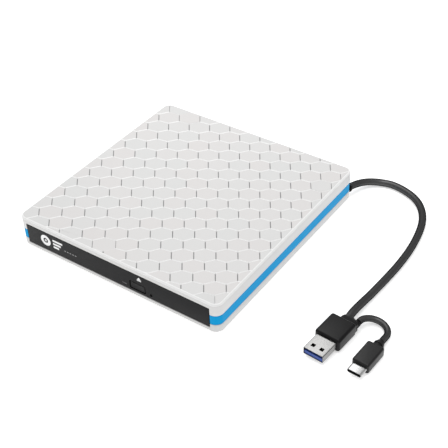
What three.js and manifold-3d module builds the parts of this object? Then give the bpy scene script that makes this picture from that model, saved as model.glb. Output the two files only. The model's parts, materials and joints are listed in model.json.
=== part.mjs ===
// External optical drive: a slim tray-loading disc drive in a two-part plastic case with a coloured
// band, and a captive USB lead that ends in a type-A plug with a type-C plug on a short branch.
// Units are millimetres. +X is right, +Y is towards the back and +Z is up, seen from the front bezel.
// The origin is on the surface that the feet stand on, under the middle of the case.
import * as THREE from "three";
import { mergeVertices } from "three/addons/utils/BufferGeometryUtils.js";
import Module from "manifold-3d";

const wasm = await Module();
wasm.setup();

// ---------------------------------------------------------------- driving dimensions
const CASE = {
  width: 140,
  depth: 142,
  top: 21, // height of the lid's upper face
  base: 1, // height of the underside, which the feet hold off the table
  corner: 5, // plan radius of the four corners
  wall: 1.8,
  floor: 1.6,
  edge: 1.4, // rounding of the upper and lower rims
  bandLow: 6.5, // parting line between bottom cover and band
  bandHigh: 12.95, // parting line between band and top cover
};
const MOUTH = { half: 64.4, low: 3.85, high: 17.4 }; // front opening that the tray comes through
const GAP = 0.2; // clearance between neighbouring pieces
const DRIVE = { y: -67, z: 4.3, depth: 126, height: 12.7, halfLid: 64, halfPan: 63.3 };
const DISC = { x: 0, y: 60.8, radius: 60 }; // disc centre in the drive's frame
const TRAY = { half: 59.8, front: 0.3, back: 121.8, low: 1.4, floor: 6.6, well: 7.6, rim: 9.9 };
const SLED_ANGLE = -Math.PI / 4; // the sled runs from the spindle to the front right corner
const BEZEL = { half: 64.2, thick: 3.8, low: -0.25, high: 12.9 };
const BUTTON = { x: 16.5, z: 4.1, width: 10, height: 4.4 };
const LED = { x: 7.1, z: 2.5, width: 3.2, height: 0.9 };
const PINHOLE = { x: 25.7, z: 2.5, radius: 0.65 };
const POST = { x: 65.2, y: 65.2, outer: 2.3, hole: 1.1 }; // screw posts in the case corners
const FOOT = { x: 54, y: 57, radius: 5.5 };
const LEAD = { diameter: 4.4, branch: 3.6 }; // main lead and type-C branch
const BRIDGE = { z: 6.2, thick: 1.2, front: 60, back: 68.8, half: 42 }; // adapter board
const EXIT = { angle: (72 * Math.PI) / 180, z: 5.4 }; // the lead leaves through the rear right corner

// ---------------------------------------------------------------- shapes
const UP = new THREE.Vector3(0, 0, 1);

// A box between two corners.
function block(x0, x1, y0, y1, z0, z1) {
  return new THREE.BoxGeometry(x1 - x0, y1 - y0, z1 - z0).translate(
    (x0 + x1) / 2, (y0 + y1) / 2, (z0 + z1) / 2,
  );
}

// A cylinder along +Z.
function rod(radius, x, y, z0, z1, sides = 24) {
  return new THREE.CylinderGeometry(radius, radius, z1 - z0, sides)
    .rotateX(Math.PI / 2)
    .translate(x, y, (z0 + z1) / 2);
}

// A cylinder along +X.
function rodX(radius, x0, x1, y, z, sides = 16) {
  return new THREE.CylinderGeometry(radius, radius, x1 - x0, sides)
    .rotateZ(Math.PI / 2)
    .translate((x0 + x1) / 2, y, z);
}

// A cylinder along +Y.
function rodY(radius, y0, y1, x, z, sides = 16) {
  return new THREE.CylinderGeometry(radius, radius, y1 - y0, sides).translate(x, (y0 + y1) / 2, z);
}

// A turned solid about +Z, from [radius, height] pairs that start and end on the axis.
function turned(profile, sides = 32) {
  const points = profile.map(([r, z]) => new THREE.Vector2(r, z));
  return new THREE.LatheGeometry(points, sides).rotateX(Math.PI / 2);
}

// A rectangle with round corners, centred at x, y.
function roundedRect(width, depth, radius, x = 0, y = 0) {
  const w = width / 2;
  const d = depth / 2;
  const s = new THREE.Shape();
  s.moveTo(x - w + radius, y - d);
  s.lineTo(x + w - radius, y - d);
  s.absarc(x + w - radius, y - d + radius, radius, -Math.PI / 2, 0);
  s.lineTo(x + w, y + d - radius);
  s.absarc(x + w - radius, y + d - radius, radius, 0, Math.PI / 2);
  s.lineTo(x - w + radius, y + d);
  s.absarc(x - w + radius, y + d - radius, radius, Math.PI / 2, Math.PI);
  s.lineTo(x - w, y - d + radius);
  s.absarc(x - w + radius, y - d + radius, radius, Math.PI, 1.5 * Math.PI);
  return s;
}

// A shape in plan, made solid from z0 to z1, with its upper and lower rims rounded by edge.
function slab(shape, z0, z1, edge = 0, curveSegments = 6) {
  return new THREE.ExtrudeGeometry(shape, {
    depth: z1 - z0 - 2 * edge,
    curveSegments,
    bevelEnabled: edge > 0,
    bevelThickness: edge,
    bevelSize: edge,
    bevelOffset: -edge,
    bevelSegments: 2,
  }).translate(0, 0, z0 + edge);
}

// A straight-sided outline in plan, made solid from z0 to z1.
function plate(points, z0, z1) {
  return slab(new THREE.Shape(points.map(([x, y]) => new THREE.Vector2(x, y))), z0, z1);
}

// ---------------------------------------------------------------- cutting and joining
function solidOf(geometry) {
  const bare = geometry.clone();
  bare.deleteAttribute("normal");
  bare.deleteAttribute("uv");
  const merged = mergeVertices(bare, 1e-4);
  return new wasm.Manifold(
    new wasm.Mesh({
      numProp: 3,
      vertProperties: new Float32Array(merged.attributes.position.array),
      triVerts: new Uint32Array(merged.index.array),
    }),
  );
}

function geometryOf(solid) {
  const { numProp, numVert, vertProperties, triVerts } = solid.getMesh();
  const points = new Float32Array(numVert * 3);
  for (let i = 0; i < numVert; i += 1) {
    points.set(vertProperties.subarray(i * numProp, i * numProp + 3), i * 3);
  }
  const geometry = new THREE.BufferGeometry();
  geometry.setAttribute("position", new THREE.BufferAttribute(points, 3));
  geometry.setIndex(new THREE.BufferAttribute(new Uint32Array(triVerts), 1));
  geometry.computeVertexNormals();
  return geometry;
}

function join(...pieces) {
  return geometryOf(pieces.map(solidOf).reduce((all, one) => all.add(one)));
}

function cut(base, ...tools) {
  return geometryOf(tools.map(solidOf).reduce((left, tool) => left.subtract(tool), solidOf(base)));
}

function keep(base, region) {
  return geometryOf(solidOf(base).intersect(solidOf(region)));
}

// ---------------------------------------------------------------- materials
function finish(color, roughness, metalness = 0) {
  return new THREE.MeshStandardMaterial({ color, roughness, metalness });
}
const WHITE = finish(0xe6e5e5, 0.45);
const BLUE = finish(0x1f9fe0, 0.4);
const BLACK = finish(0x2b2b2b, 0.45);
const JACKET = finish(0x2c2c2c, 0.55);
const STEEL = finish(0xb9bcbf, 0.35, 1);
const NICKEL = finish(0xd8d8d6, 0.22, 1);
const RUBBER = finish(0x3a3a3c, 0.85);
const BOARD = finish(0x1d5a3a, 0.5);
const CHIP = finish(0x17181a, 0.5);
const AMBER = finish(0xb98b4a, 0.4);
const TONGUE = finish(0x2450a8, 0.4);
const LENS = finish(0xaec6e8, 0.05);

// ---------------------------------------------------------------- scene graph
const drive = new THREE.Group();
const caseGroup = new THREE.Group();
const mechanism = new THREE.Group();
mechanism.position.set(0, DRIVE.y, DRIVE.z);
const traverse = new THREE.Group();
traverse.position.set(DISC.x, DISC.y, 0);
traverse.rotation.z = SLED_ANGLE;
mechanism.add(traverse);
drive.add(caseGroup, mechanism);

function add(group, name, geometry, material) {
  const mesh = new THREE.Mesh(geometry, material);
  mesh.name = name;
  group.add(mesh);
  return mesh;
}

// ---------------------------------------------------------------- case
const outline = (inset) =>
  roundedRect(CASE.width - 2 * inset, CASE.depth - 2 * inset, CASE.corner - inset);
const mouthCut = block(-MOUTH.half, MOUTH.half, -CASE.depth, -60, MOUTH.low, MOUTH.high);
const exitAt = {
  x: CASE.width / 2 - CASE.corner + CASE.corner * Math.cos(EXIT.angle),
  y: CASE.depth / 2 - CASE.corner + CASE.corner * Math.sin(EXIT.angle),
};
const cornersOf = (x, y) => [
  ["front_left", -x, -y],
  ["front_right", x, -y],
  ["rear_left", -x, y],
  ["rear_right", x, y],
];
const SCREWS = cornersOf(POST.x, POST.y).map(([place, x, y]) =>
  // the lead leaves beside the rear right post, so that post stands further to the left
  place === "rear_right" ? [place, x - 12, y] : [place, x, y],
);

// A hole through the wall, along the direction in which the lead leaves.
function exitHole(radius) {
  return rodY(radius, -6, 6, 0, 0, 20)
    .rotateZ(EXIT.angle - Math.PI / 2)
    .translate(exitAt.x, exitAt.y, EXIT.z);
}

function topCover() {
  const cavity = slab(outline(CASE.wall), 0, CASE.top - CASE.wall);
  const ribs = [-40, 0, 40].map((x) => block(x - 0.6, x + 0.6, -55, 50, DRIVE.z + 12.9, 20));
  const posts = SCREWS.map(([, x, y]) => rod(POST.outer, x, y, 10.2, 20, 16));
  const holes = SCREWS.map(([, x, y]) => rod(POST.hole, x, y, 8, 16, 12));
  const shell = cut(slab(outline(0), 0, CASE.top, CASE.edge), cavity);
  const inside = keep(join(...posts, ...ribs), slab(outline(0.5), 0, CASE.top - 1));
  const whole = cut(join(shell, inside), ...holes, mouthCut);
  // only the posts reach below the parting line
  const skirt = cut(block(-90, 90, -90, 90, -5, CASE.bandHigh), ...SCREWS.map(
    ([, x, y]) => rod(POST.outer + 0.01, x, y, 10, 20, 16),
  ));
  const mouthPosts = block(-MOUTH.half, MOUTH.half, -CASE.depth, -60, 5, MOUTH.high);
  return cut(whole, skirt, mouthPosts);
}

function bottomCover() {
  const cavity = slab(outline(CASE.wall), CASE.base + CASE.floor, 40);
  const shell = cut(slab(outline(0), CASE.base, 30, CASE.edge), cavity);
  const low = keep(shell, block(-90, 90, -90, 90, 0, CASE.bandLow - GAP / 2));
  const floorTop = CASE.base + CASE.floor - 0.1;
  const posts = SCREWS.map(([, x, y]) => rod(POST.outer, x, y, floorTop, 9.9, 16));
  const rails = [-50, 50].map((x) => block(x - 1, x + 1, -60, 56, floorTop, DRIVE.z - 0.1));
  const shelves = [-30, 30].map((x) => block(x - 2, x + 2, 61, 68, floorTop, BRIDGE.z - 0.1));
  const bolts = SCREWS.flatMap(([, x, y]) => [
    rod(POST.hole, x, y, -5, 20, 12),
    rod(2, x, y, -5, CASE.base + 1.5, 16),
  ]);
  const pads = cornersOf(FOOT.x, FOOT.y).map(([, x, y]) =>
    rod(FOOT.radius + GAP, x, y, -5, CASE.base + 0.6),
  );
  return cut(join(low, ...posts, ...rails, ...shelves), ...bolts, ...pads, mouthCut, exitHole(2.3));
}

function accentBand() {
  const ring = cut(
    slab(outline(0), CASE.bandLow + GAP / 2, CASE.bandHigh - GAP / 2),
    slab(outline(CASE.wall), 0, 30),
  );
  const posts = SCREWS.map(([, x, y]) => rod(POST.outer + GAP, x, y, 0, 30, 16));
  return cut(ring, mouthCut, exitHole(2.3), ...posts);
}

function caseScrew(x, y) {
  const head = rod(1.7, x, y, CASE.base + 0.4, CASE.base + 1.4, 16);
  const shank = rod(0.85, x, y, CASE.base + 1.2, 15, 12);
  const slot = join(
    block(x - 1.1, x + 1.1, y - 0.2, y + 0.2, 0, CASE.base + 0.8),
    block(x - 0.2, x + 0.2, y - 1.1, y + 1.1, 0, CASE.base + 0.8),
  );
  return cut(join(head, shank), slot);
}

add(caseGroup, "top_cover", topCover(), WHITE);
add(caseGroup, "bottom_cover", bottomCover(), WHITE);
add(caseGroup, "accent_band", accentBand(), BLUE);
for (const [place, x, y] of cornersOf(FOOT.x, FOOT.y)) {
  const pad = turned([[0, 0], [FOOT.radius - 0.5, 0], [FOOT.radius, 0.5], [FOOT.radius, 1.5], [0, 1.5]]);
  add(caseGroup, `foot_${place}`, pad, RUBBER).position.set(x, y, 0);
}
for (const [place, x, y] of SCREWS) {
  add(caseGroup, `case_screw_${place}`, caseScrew(x, y), STEEL);
}

// Adapter board behind the drive, with the socket that the drive plugs into.
add(
  caseGroup,
  "bridge_board",
  block(-BRIDGE.half, BRIDGE.half, BRIDGE.front, BRIDGE.back, BRIDGE.z, BRIDGE.z + BRIDGE.thick),
  BOARD,
);
const onBoard = BRIDGE.z + BRIDGE.thick + GAP / 2;
add(
  caseGroup,
  "sata_socket",
  cut(block(-44, -4, 59.4, 64, onBoard, onBoard + 4.6), block(-42, -6, 59, 62, DRIVE.z + 4.5, DRIVE.z + 6.3)),
  BLACK,
);
add(caseGroup, "bridge_chip", block(10, 17, 61, 68, onBoard, onBoard + 1), CHIP);

// ---------------------------------------------------------------- drive chassis
const SHEET = 0.6;
const LATCH_POST = { x: 15.6, y: 14.5 };

function chassisPan() {
  const h = DRIVE.halfPan;
  const tub = cut(
    block(-h, h, 0, DRIVE.depth, 0, 12),
    block(-h + SHEET, h - SHEET, -1, DRIVE.depth - SHEET, SHEET, 20),
  );
  const latchPost = rod(0.8, LATCH_POST.x, LATCH_POST.y, 0.3, 1.6, 12);
  const socketWindow = block(-45, -3, 120, 130, 2.4, 8.6);
  const screwHoles = rodX(0.95, -70, 70, 100, 9.6, 12);
  return cut(join(tub, latchPost), socketWindow, screwHoles);
}

function chassisLid() {
  const h = DRIVE.halfLid;
  const tub = cut(
    block(-h, h, 0, DRIVE.depth, 6, DRIVE.height),
    block(-h + 0.5, h - 0.5, -1, DRIVE.depth + 1, 5, DRIVE.height - 0.5),
  );
  return cut(tub, rodX(0.95, -70, 70, 100, 9.6, 12));
}

// A plastic channel on each wall of the pan; the steel rail runs inside it.
function railGuide(side) {
  const channel = cut(block(60.1, 62.5, 4, 118, 2, 8), block(59, 61.7, 3, 119, 2.8, 7.2));
  return side > 0 ? channel : mirrored(channel);
}

// The rail that telescopes between the channel and the tray's side groove.
function slideRail(side) {
  const rail = join(block(60.6, 61.4, 3, 119, 3.1, 6.9), block(58.2, 60.8, 3, 119, 4.7, 5.3));
  return side > 0 ? rail : mirrored(rail);
}

// The same solid on the other side of the middle plane, with its faces turned back outwards.
function mirrored(geometry) {
  return geometryOf(solidOf(geometry).mirror([1, 0, 0]));
}

function lidScrew(side) {
  const screw = join(rodX(1.5, 64.1, 64.8, 100, 9.6), rodX(0.75, 61.9, 64.3, 100, 9.6, 12));
  return side > 0 ? screw : mirrored(screw);
}

add(mechanism, "chassis_pan", chassisPan(), STEEL);
add(mechanism, "chassis_lid", chassisLid(), STEEL);
for (const [place, side] of [["left", -1], ["right", 1]]) {
  add(mechanism, `rail_guide_${place}`, railGuide(side), BLACK);
  add(mechanism, `slide_rail_${place}`, slideRail(side), STEEL);
  add(mechanism, `lid_screw_${place}`, lidScrew(side), STEEL);
}
add(mechanism, "drive_board", block(-50, 20, 122.3, 123.3, 1, 9.5), BOARD);
add(
  mechanism,
  "sata_plug",
  join(block(-44, -4, 123.5, 125.9, 3, 8), block(-41, -7, 123.5, 128.6, 5, 5.6)),
  BLACK,
);
add(mechanism, "flex_ribbon", block(-42, -22, 34, 122, 0.7, 1), AMBER);

// ---------------------------------------------------------------- tray
const HUB_HOLE = 15.2;
const toDrive = (geometry) => geometry.rotateZ(SLED_ANGLE).translate(DISC.x, DISC.y, 0);

function discTray() {
  const { half, front, back, low, floor, well, rim } = TRAY;
  const body = slab(roundedRect(2 * half, back - front, 2, 0, (front + back) / 2), low, rim);
  const tools = [
    rod(DISC.radius + 0.4, DISC.x, DISC.y, well, 30, 96),
    rod(20, DISC.x, DISC.y, well, 30),
    block(-55.5, 55.5, 4, 116, -5, floor),
    block(half - 9, half + 9, 30, 92, well, 30),
    block(-half - 9, -half + 9, 30, 92, well, 30),
    block(57.9, 70, -5, 130, 4.3, 5.7),
    block(-70, -57.9, -5, 130, 4.3, 5.7),
    rod(HUB_HOLE, DISC.x, DISC.y, 0, 30, 40),
    toDrive(block(10, 60, -8.5, 8.5, 0, 9)),
    rodY(1.1, -2, 6, PINHOLE.x, PINHOLE.z, 12),
    block(BUTTON.x - 5.2, BUTTON.x + 5.2, -2, 6, BUTTON.z - 2.5, BUTTON.z + 2.5),
    block(LED.x - 1.9, LED.x + 1.9, -2, 6, 1, 3.2),
    block(LATCH_POST.x - 1.6, LATCH_POST.x + 1.6, 115, 123, 0, 2), // clears the post on the way out
  ];
  return cut(body, ...tools);
}

function frontBezel() {
  const { half, thick, low, high } = BEZEL;
  const back = -GAP;
  const face = block(-half, half, -thick - GAP, back, low, high);
  const hollow = block(-half + 1.5, half - 1.5, -1.9, 3, low + 1.2, high - 1.2);
  const bosses = join(
    block(BUTTON.x - 6.4, BUTTON.x + 6.4, -3, back, BUTTON.z - 3.4, BUTTON.z + 3.4),
    block(PINHOLE.x - 1.6, PINHOLE.x + 1.6, -3, back, PINHOLE.z - 1.6, PINHOLE.z + 1.6),
  );
  const buttonHole = block(
    BUTTON.x - BUTTON.width / 2 - 0.3, BUTTON.x + BUTTON.width / 2 + 0.3, -9, 5,
    BUTTON.z - BUTTON.height / 2 - 0.3, BUTTON.z + BUTTON.height / 2 + 0.3,
  );
  const ledHole = block(
    LED.x - LED.width / 2 - 0.1, LED.x + LED.width / 2 + 0.1, -9, 5,
    LED.z - LED.height / 2 - 0.1, LED.z + LED.height / 2 + 0.1,
  );
  const pinhole = rodY(PINHOLE.radius, -9, 5, PINHOLE.x, PINHOLE.z, 16);
  return cut(join(cut(face, hollow), bosses), buttonHole, ledHole, pinhole);
}

function ejectButton() {
  const { x, z, width, height } = BUTTON;
  const w = width / 2;
  const h = height / 2;
  return join(
    block(x - w, x + w, -3.9, -0.9, z - h, z + h),
    block(x - 1.2, x + 1.2, -1, 4.2, z - 1.2, z + 1.2),
  );
}

// The control board under the tray, with the switch that the button presses.
function trayBoard() {
  const board = plate([[-54, 4.4], [24, 4.4], [24, 10.8], [2, 10.8], [2, 30], [-54, 30]], 5.3, 6.3);
  const pushSwitch = block(BUTTON.x - 2.5, BUTTON.x + 2.5, 5.2, 9, 3.4, 5.5);
  const chips = join(block(-30, -21, 12, 21, 4.2, 5.5), block(-46, -40, 14, 20, 4.3, 5.5));
  const connector = block(-42, -22, 24.5, 28.5, 3.4, 5.5);
  return join(board, pushSwitch, chips, connector);
}

add(mechanism, "disc_tray", discTray(), BLACK);
add(mechanism, "front_bezel", frontBezel(), BLACK);
add(mechanism, "eject_button", ejectButton(), BLACK);
add(
  mechanism,
  "activity_led",
  join(
    block(LED.x - LED.width / 2, LED.x + LED.width / 2, -3.8, 4.2, LED.z - 0.45, LED.z + 0.45),
    block(LED.x - 1.2, LED.x + 1.2, 2.6, 4.2, LED.z - 0.45, 3),
  ),
  finish(0x4a4f55, 0.3),
);
add(mechanism, "tray_board", trayBoard(), BOARD);

// Release lever: the pin or the solenoid turns it, and its tooth lets go of the post on the pan.
const LEVER = { x: 13, y: 8, z0: 1.9, z1: 3.1 };
add(
  mechanism,
  "latch_hook",
  join(
    rod(2, LEVER.x, LEVER.y, LEVER.z0, LEVER.z1, 16),
    block(LEVER.x, 26.5, LEVER.y - 2.4, LEVER.y - 1, LEVER.z0, LEVER.z1),
    block(LEVER.x - 0.8, LEVER.x + 0.8, LEVER.y, 18, LEVER.z0, LEVER.z1),
    block(LEVER.x, 15.8, 16.2, 18, LEVER.z0, LEVER.z1),
  ),
  STEEL,
);
add(mechanism, "solenoid", cut(block(-12, 2, 8.6, 15.4, 1.7, 5), rodX(1.5, -9, 5, 12, 3.4)), AMBER);
add(
  mechanism,
  "solenoid_plunger",
  join(rodX(1.2, -7, 8, 12, 3.4), block(7.5, 11.9, 11.2, 12.8, 2, 4.4)),
  STEEL,
);

// ---------------------------------------------------------------- traverse: spindle, sled and screw
// Its own frame: the origin is the spindle, +X is the way the sled travels.
const DECK = { z0: 1.8, z1: 2.6, inner: -17, outer: 61.5 };
const RODS = { y: 11.5, z: 4.4, radius: 1, x0: 12.8, x1: 61.3 };
const SCREW = { y: -15.5, z: 4.4, x0: 10.3, x1: 60.6, root: 0.75, crest: 1.05, pitch: 3 };
const SLED = { x: 24, half: 6, width: 13.2, z0: 3, z1: 6.2 };

function traverseDeck() {
  const sheet = plate(
    [
      [DECK.inner, -13], [-3, -17.5], [DECK.outer, -17.5], [DECK.outer, 13.5], [52, 13.5],
      [51, 18.5], [44, 18.5], [43, 13.5], [DECK.inner, 13.5],
    ],
    DECK.z0, DECK.z1,
  );
  const tabs = [
    ...[RODS.y, -RODS.y].flatMap((y) => [
      block(12.8, 14, y - 1.9, y + 1.9, DECK.z0, 6.1),
      block(60.3, 61.5, y - 1.9, y + 1.9, DECK.z0, 6.1),
    ]),
    block(60.3, 61.5, SCREW.y - 2, SCREW.y + 2.2, DECK.z0, 6.1),
  ];
  const holes = [
    block(16, 58, -9, 9, 0, 9),
    rodX(RODS.radius + 0.1, 10, 62, RODS.y, RODS.z),
    rodX(RODS.radius + 0.1, 10, 62, -RODS.y, RODS.z),
    rodX(SCREW.crest + 0.15, 40, 62, SCREW.y, SCREW.z),
    rod(4, 0, 0, 0, 9),
  ];
  return cut(join(sheet, ...tabs), ...holes);
}

// Thin plate that covers the traverse, level with the floor of the disc well.
function traverseCover() {
  const sheet = slab(roundedRect(77, 35, 4, 18.5, 0), TRAY.well + 0.05, TRAY.well + 0.35);
  return cut(sheet, rod(HUB_HOLE, 0, 0, 0, 30, 40), block(10, 60, -8.5, 8.5, 0, 30));
}

function leadScrew() {
  const { x0, x1, root, crest, pitch } = SCREW;
  const profile = [[0, x0], [root, x0]];
  for (let x = x0 + 2; x < x1 - pitch; x += pitch) {
    profile.push([root, x], [crest, x + 0.8], [root, x + 1.6]);
  }
  profile.push([root, x1], [0, x1]);
  return turned(profile, 10).rotateY(Math.PI / 2);
}

function pickupSled() {
  const { x, half, width, z0, z1 } = SLED;
  const body = join(
    block(x - half, x + half, -width, width, z0, z1),
    block(x - 5.5, x + 5.5, -7, 7, z1 - 0.1, 7),
    block(x - half + 0.5, x - half + 4.5, -17.2, -width + 0.1, 3.1, 5.8),
  );
  return cut(
    body,
    rodX(RODS.radius + 0.06, 0, 60, RODS.y, RODS.z),
    rodX(RODS.radius + 0.06, 0, 60, -RODS.y, RODS.z),
    rodX(SCREW.crest + 0.15, 0, 60, SCREW.y, SCREW.z),
    block(x - 4, x + 4, -4, 4, 5, 20),
  );
}

// Disc seat and centring boss, with three slots for the clamping claws.
const CLAW_ANGLES = [90, 210, 330].map((a) => (a * Math.PI) / 180);

function turntable() {
  const body = turned([
    [0, 6.3], [12.3, 6.3], [12.3, 8.1], [14, 8.3], [14, 9], [7.4, 9], [7.4, 10.3], [6.4, 10.9], [0, 10.9],
  ], 48);
  const slots = CLAW_ANGLES.map((a) => block(3.2, 9, -1.3, 1.3, 9.3, 10.5).rotateZ(a));
  return cut(body, ...slots, rod(1.2, 0, 0, 9.6, 12, 16));
}

function clampClaw(angle) {
  const claw = join(block(4.1, 6.6, -1.1, 1.1, 9.5, 10.3), rod(1.1, 6.6, 0, 9.5, 10.3, 16));
  return claw.rotateZ(angle);
}

add(traverse, "traverse_deck", traverseDeck(), STEEL);
add(traverse, "traverse_cover", traverseCover(), STEEL);
add(traverse, "spindle_motor", turned([[0, 2.7], [9.5, 2.7], [12.2, 3.4], [12.2, 6], [0, 6]], 32), STEEL);
add(traverse, "turntable", turntable(), BLACK);
CLAW_ANGLES.forEach((angle, i) => add(traverse, `clamp_claw_${i + 1}`, clampClaw(angle), WHITE));
for (const [place, side] of [["front", -1], ["rear", 1]]) {
  const shaft = rodX(RODS.radius, RODS.x0, RODS.x1, side * RODS.y, RODS.z);
  add(traverse, `guide_rod_${place}`, shaft, NICKEL);
}
add(traverse, "sled_motor", rodX(1.7, 1, 10, SCREW.y, SCREW.z + 0.1, 20), STEEL);
add(traverse, "lead_screw", leadScrew(), NICKEL).position.set(0, SCREW.y, SCREW.z);
for (const [i, [x, y]] of [[-13.6, -9.5], [-13.6, 10.4], [47.5, 16]].entries()) {
  add(traverse, `damper_${i + 1}`, rod(2.2, x, y, DECK.z1 + 0.1, TRAY.floor - 0.1, 16), RUBBER);
}
add(traverse, "pickup_sled", pickupSled(), BLACK);
add(
  traverse,
  "lens_holder",
  cut(block(SLED.x - 3.6, SLED.x + 3.6, -3.6, 3.6, 5.7, 7.4), rod(2.3, SLED.x, 0, 6.6, 9)),
  CHIP,
);
const lensProfile = [[0, 6.75], [2.1, 6.75], [2.1, 7.2], [1.6, 7.5], [0.9, 7.66], [0, 7.7]];
add(traverse, "objective_lens", turned(lensProfile, 20), LENS).position.set(SLED.x, 0, 0);

// ---------------------------------------------------------------- lead and plugs
// A tube with round sections along a smooth curve through the points.
function tube(points, diameter, steps, sides) {
  const curve = new THREE.CatmullRomCurve3(points.map((p) => new THREE.Vector3(...p)), false, "centripetal");
  const section = new THREE.Shape();
  section.absarc(0, 0, diameter / 2, 0, 2 * Math.PI);
  section.closed = true;
  return new THREE.ExtrudeGeometry(section, {
    steps,
    extrudePath: curve,
    curveSegments: sides / 2, // a full arc is drawn with twice as many
    bevelEnabled: false,
  });
}

const leadWay = [Math.cos(EXIT.angle), Math.sin(EXIT.angle)];
const along = (distance, z) => [exitAt.x + leadWay[0] * distance, exitAt.y + leadWay[1] * distance, z];
const LIE = LEAD.diameter / 2 + 0.05; // height of the lead's middle where it lies on the table
const LIE_BRANCH = LEAD.branch / 2 + 0.05;

// The lead's route from the grommet to the type-A plug.
const LEAD_ROUTE = [
  along(2.6, 5.4), along(6, 5.1), along(10, 4.4), [72.2, 84.7, 3.6], [75.9, 88.5, 2.8],
  [80.4, 91.1, LIE], [85.6, 92.3, LIE], [91.1, 92, LIE], [97, 90.5, LIE], [102.9, 88, LIE],
  [108.3, 84.1, LIE], [112.7, 79, LIE], [116.2, 73, LIE], [118.8, 66.3, LIE], [120.9, 57.6, LIE],
  [122.3, 48.8, LIE], [123.1, 40.5, LIE], [123.4, 32.5, LIE], [123.4, 24.7, LIE], [123.1, 17.2, LIE],
  [122.7, 9.9, LIE], [122.2, 2.8, LIE], [121.7, -3.5, LIE], [121.4, -8.5, 2.7], [121.2, -13.2, 3.2],
  [121.1, -17.8, 3.7], [121.1, -22, 4], [121.3, -25.7, 4],
];
// The branch's route: half a circle from the type-A plug's rear corner, then straight to the type-C plug.
const ARCH = { x: 135.25, y: -25.6, radius: 8 };
const arch = (degrees, z) => {
  const angle = (degrees * Math.PI) / 180;
  return [ARCH.x + ARCH.radius * Math.cos(angle), ARCH.y + ARCH.radius * Math.sin(angle), z];
};
const BRANCH_ROUTE = [
  arch(180, 4), arch(165, 3.95), arch(150, 3.75), arch(135, 3.4), arch(120, 3), arch(105, 2.6),
  arch(90, 2.3), arch(75, 2.05), arch(60, 1.9), arch(45, LIE_BRANCH), arch(30, LIE_BRANCH),
  arch(15, 1.9), arch(0, 2.1), [143.28, -27.4, 2.4], [143.3, -29.3, 2.75], [143.3, -31.1, 3],
];

// The grommet is clamped between bottom cover and band, and tapers down onto the lead.
function grommet() {
  const shape = turned([[0, -4.6], [2.5, -4.6], [2.5, -3.4], [2.1, -3.1], [2.1, 0.9], [0, 0.9]], 20);
  const sleeve = turned([[0, 0.7], [2.9, 0.7], [2.9, 1.6], [2.5, 2.4], [0, 2.4]], 20);
  return join(shape, sleeve)
    .rotateX(-Math.PI / 2)
    .rotateZ(EXIT.angle - Math.PI / 2)
    .translate(exitAt.x, exitAt.y, EXIT.z);
}

add(caseGroup, "cable_grommet", grommet(), RUBBER);
add(caseGroup, "usb_cable", tube(LEAD_ROUTE, LEAD.diameter, 76, 8), JACKET);
add(caseGroup, "usb_c_cable", tube(BRANCH_ROUTE, LEAD.branch, 24, 8), JACKET);

// A plug's own frame: the origin is the middle of the overmould's front face, and it points to -Y.
function plugGroup(x, y, z, turn) {
  const group = new THREE.Group();
  group.position.set(x, y, z);
  group.rotation.z = turn;
  drive.add(group);
  return group;
}
const plugA = plugGroup(120.1, -46.7, 4, -0.07);
const plugC = plugGroup(142.2, -51.9, 3, -0.05);

function overmouldA() {
  const body = slab(roundedRect(15.2, 16.6, 1.5, 0, 8.3), -4, 4, 1.4);
  const neck = plate([[-2.9, 16], [7.4, 16], [7.4, 18.2], [4, 20.8], [-2.1, 20.8], [-2.9, 20]], -3.4, 3.4);
  const branchBoss = rodY(2, 17, 20.75, 5.6, 0);
  return cut(join(body, neck, branchBoss), block(-5.7, 5.7, -1, 3, -1.95, 1.95));
}

function shellOf(width, height, length, sheet, radius) {
  const outer = slab(roundedRect(width, height, radius), 0, length, 0, 5);
  const inner = slab(roundedRect(width - 2 * sheet, height - 2 * sheet, radius - sheet), sheet, 99, 0, 5);
  return cut(outer, inner).rotateX(Math.PI / 2);
}

const windowsA = [-2.6, 2.6].map((x) => block(x - 1.1, x + 1.1, -9.1, -6.9, -9, 9));
add(plugA, "usb_a_overmould", overmouldA(), JACKET);
add(plugA, "usb_a_shell", cut(shellOf(12, 4.5, 11.9, 0.3, 0.5).translate(0, -0.1, 0), ...windowsA), NICKEL);
add(plugA, "usb_a_tongue", block(-5.5, 5.5, -11.6, -0.6, -1.8, 0.1), TONGUE);

function overmouldC() {
  const body = slab(roundedRect(9.8, 16.2, 1.2, 0, 8.1), -3, 3, 1.1);
  const neck = turned([[0, 0], [2.5, 0], [2.5, 1.5], [2.9, 1.6], [2.9, 2.6], [2.3, 2.7], [2.3, 4.4], [0, 4.4]], 16)
    .rotateX(-Math.PI / 2)
    .translate(0.1, 16, 0);
  return join(body, neck);
}
add(plugC, "usb_c_overmould", overmouldC(), JACKET);
add(plugC, "usb_c_shell", shellOf(8.25, 2.4, 5.4, 0.3, 1.15).translate(0, -0.1, 0), NICKEL);
add(plugC, "usb_c_tongue", block(-3, 3, -4.7, -0.6, -0.35, 0.35), CHIP);

export default drive;
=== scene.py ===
"""Looks of the external optical drive: fine shells, honeycomb lid, bezel, tray, lead and plugs.

Everything is in metres in the CAD model's frame: +X right, +Y back, +Z up, with the origin under the
middle of the case, on the table. Lengths are written in millimetres and multiplied by MM, apart from
those of the lamps and the floor, which are metres.
"""
import json
import math
import random

import bmesh
import bpy
from mathutils import Matrix, Vector

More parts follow.
